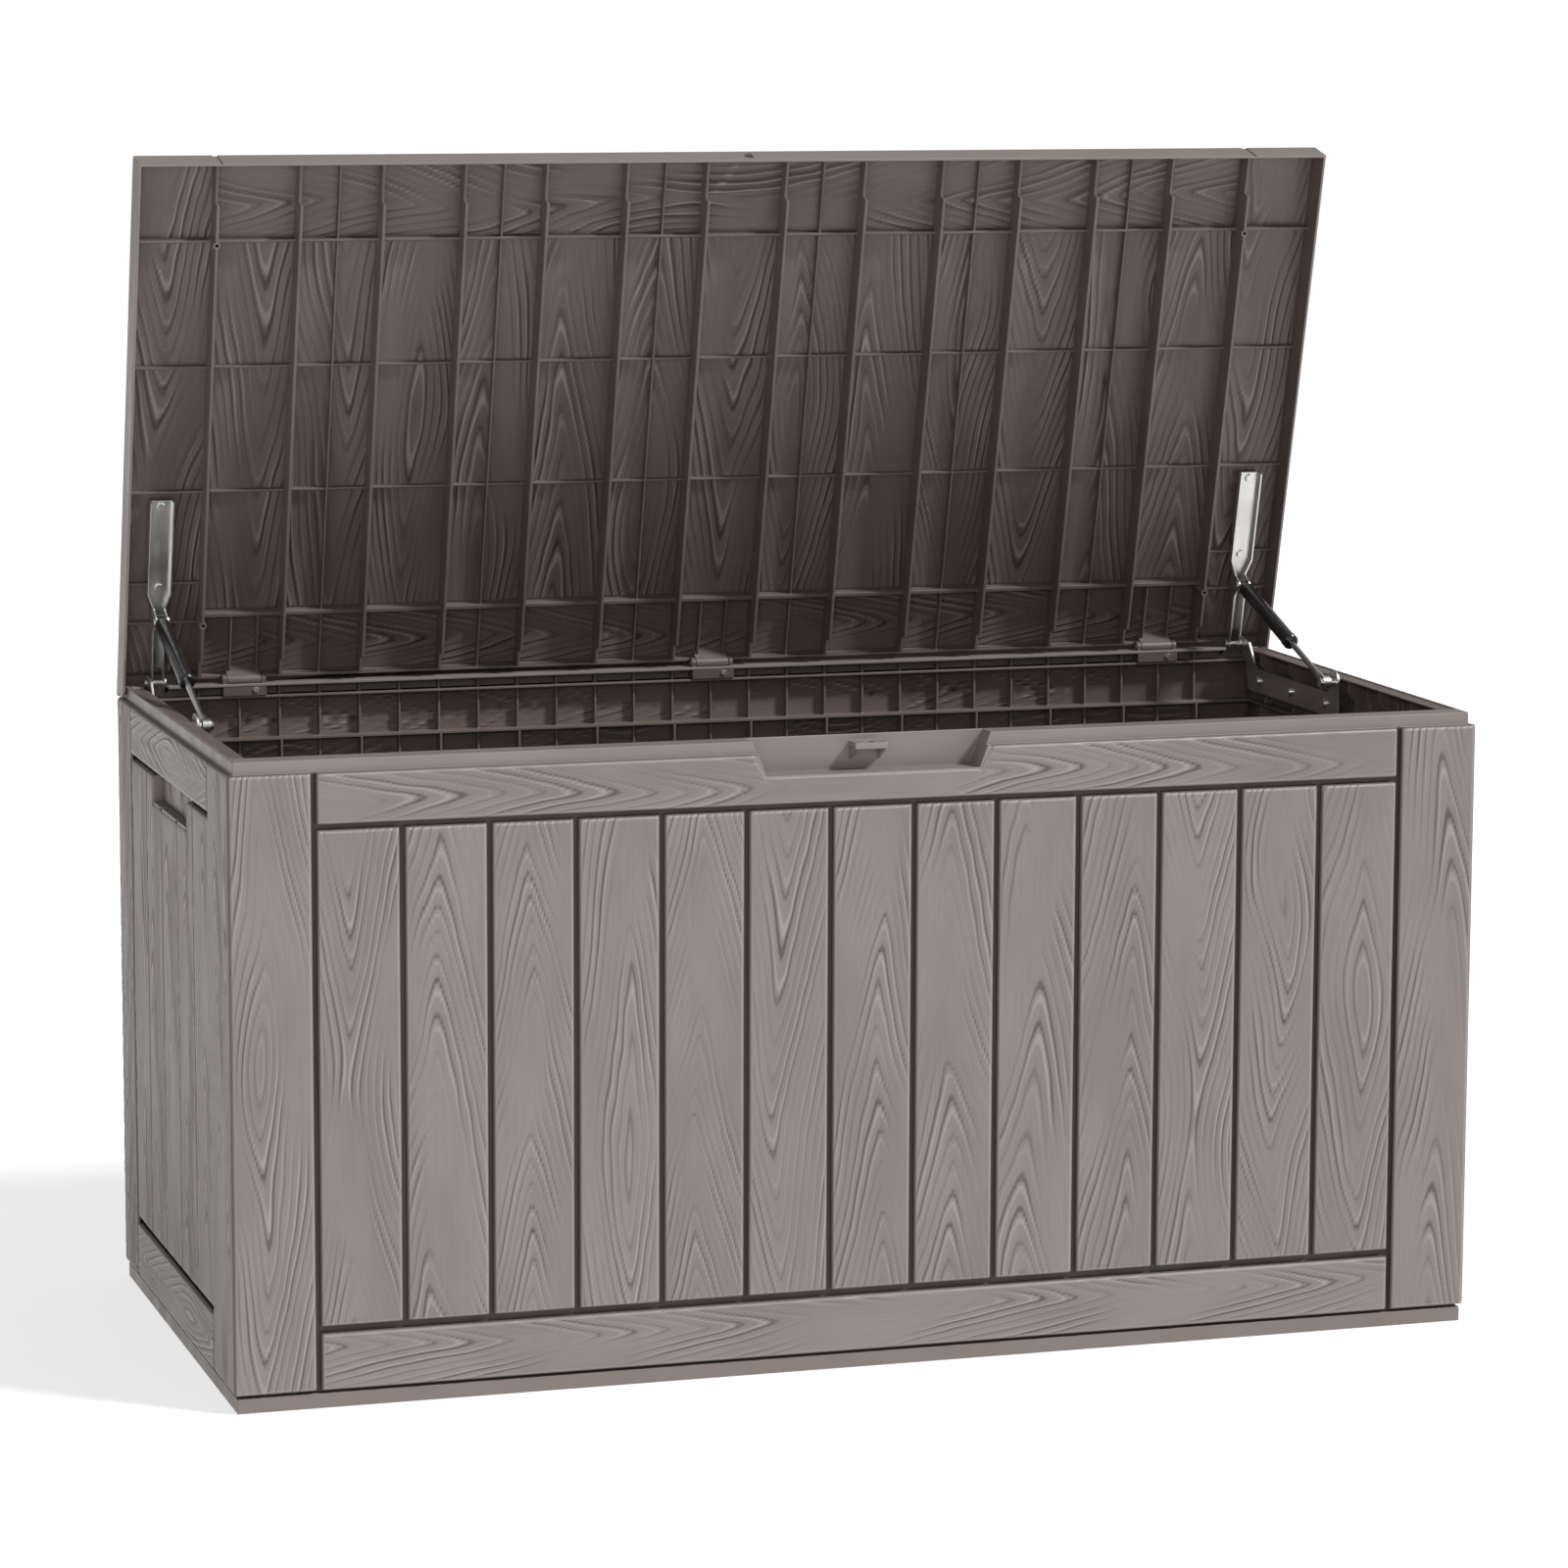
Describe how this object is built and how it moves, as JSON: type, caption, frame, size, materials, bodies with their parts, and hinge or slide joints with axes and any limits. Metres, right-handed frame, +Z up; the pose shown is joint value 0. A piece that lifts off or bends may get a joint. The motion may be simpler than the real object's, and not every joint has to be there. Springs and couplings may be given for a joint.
{
  "type": "deck storage box",
  "caption": "Resin deck storage box with wood-look planks, a ribbed hinged lid held up by gas struts, end hand grips, and a padlock tab in a front finger recess.",
  "frame": {"origin": "on the floor under the middle of the box body", "axes": "+Z up; the front with the finger recess faces -Y; +X is to the right of someone facing the front"},
  "size_m": [1.2166, 0.5568, 1.1255],
  "materials": {
    "resin": "satin moulded resin with embossed wood grain",
    "resin_trim": "satin moulded resin",
    "zinc": "bright zinc plate",
    "formed_steel": "plated formed sheet steel",
    "strut_black": "semi-gloss black",
    "polished_rod": "polished"
  },
  "bodies": {
    "box": {"floor_panel": "resin", "front_panel": "resin", "back_panel": "resin", "left_panel": "resin", "right_panel": "resin", "hinge_block_left": "resin_trim", "hinge_block_middle": "resin_trim", "hinge_block_right": "resin_trim", "hinge_block_screws": "zinc", "hinge_pins": "zinc", "left_arm_rivet": "zinc", "left_bracket": "formed_steel", "left_bracket_screws": "zinc", "left_bracket_stud": "zinc", "right_arm_rivet": "zinc", "right_bracket": "formed_steel", "right_bracket_screws": "zinc", "right_bracket_stud": "zinc"},
    "lid": {"lid_panel": "resin", "left_lid_arm": "formed_steel", "left_lid_arm_screws": "zinc", "left_upper_pin": "zinc", "right_lid_arm": "formed_steel", "right_lid_arm_screws": "zinc", "right_upper_pin": "zinc"},
    "left_cylinder": {"left_strut_eye": "strut_black", "left_strut_cylinder": "strut_black", "left_strut_gland": "strut_black"},
    "left_rod": {"left_strut_rod": "polished_rod", "left_rod_end": "polished_rod", "left_rod_end_pin": "polished_rod"},
    "right_cylinder": {"right_strut_eye": "strut_black", "right_strut_cylinder": "strut_black", "right_strut_gland": "strut_black"},
    "right_rod": {"right_strut_rod": "polished_rod", "right_rod_end": "polished_rod", "right_rod_end_pin": "polished_rod"}
  },
  "joints": [
    {"name": "lid_hinge", "type": "hinge", "parent": "box", "child": "lid", "pos_m": [0, 0.2565, 0.603], "axis": [1, 0, 0], "range_deg": [0, 76], "stiffness_Nm_per_rad": 2.2, "springref_deg": -148.97},
    {"name": "left_strut_swing", "type": "hinge", "parent": "lid", "child": "left_cylinder", "pos_m": [-0.572, 0.2301, 0.66753], "axis": [1, 0, 0], "range_deg": [-94.6, 0.1]},
    {"name": "left_strut_stroke", "type": "slide", "parent": "left_cylinder", "child": "left_rod", "axis": [0, -0.95, -0.3124], "range_m": [-0.0545, 0.0001]},
    {"name": "right_strut_swing", "type": "hinge", "parent": "lid", "child": "right_cylinder", "pos_m": [0.572, 0.2301, 0.66753], "axis": [1, 0, 0], "range_deg": [-94.6, 0.1]},
    {"name": "right_strut_stroke", "type": "slide", "parent": "right_cylinder", "child": "right_rod", "axis": [0, -0.95, -0.3124], "range_m": [-0.0545, 0.0001]}
  ],
  "couplings": [
    {"joint": "left_strut_swing", "follows": "lid_hinge", "ratio": -1.2437},
    {"joint": "left_strut_stroke", "follows": "lid_hinge", "m_per_rad": -0.040998},
    {"joint": "right_strut_swing", "follows": "lid_hinge", "ratio": -1.2437},
    {"joint": "right_strut_stroke", "follows": "lid_hinge", "m_per_rad": -0.040998}
  ]
}
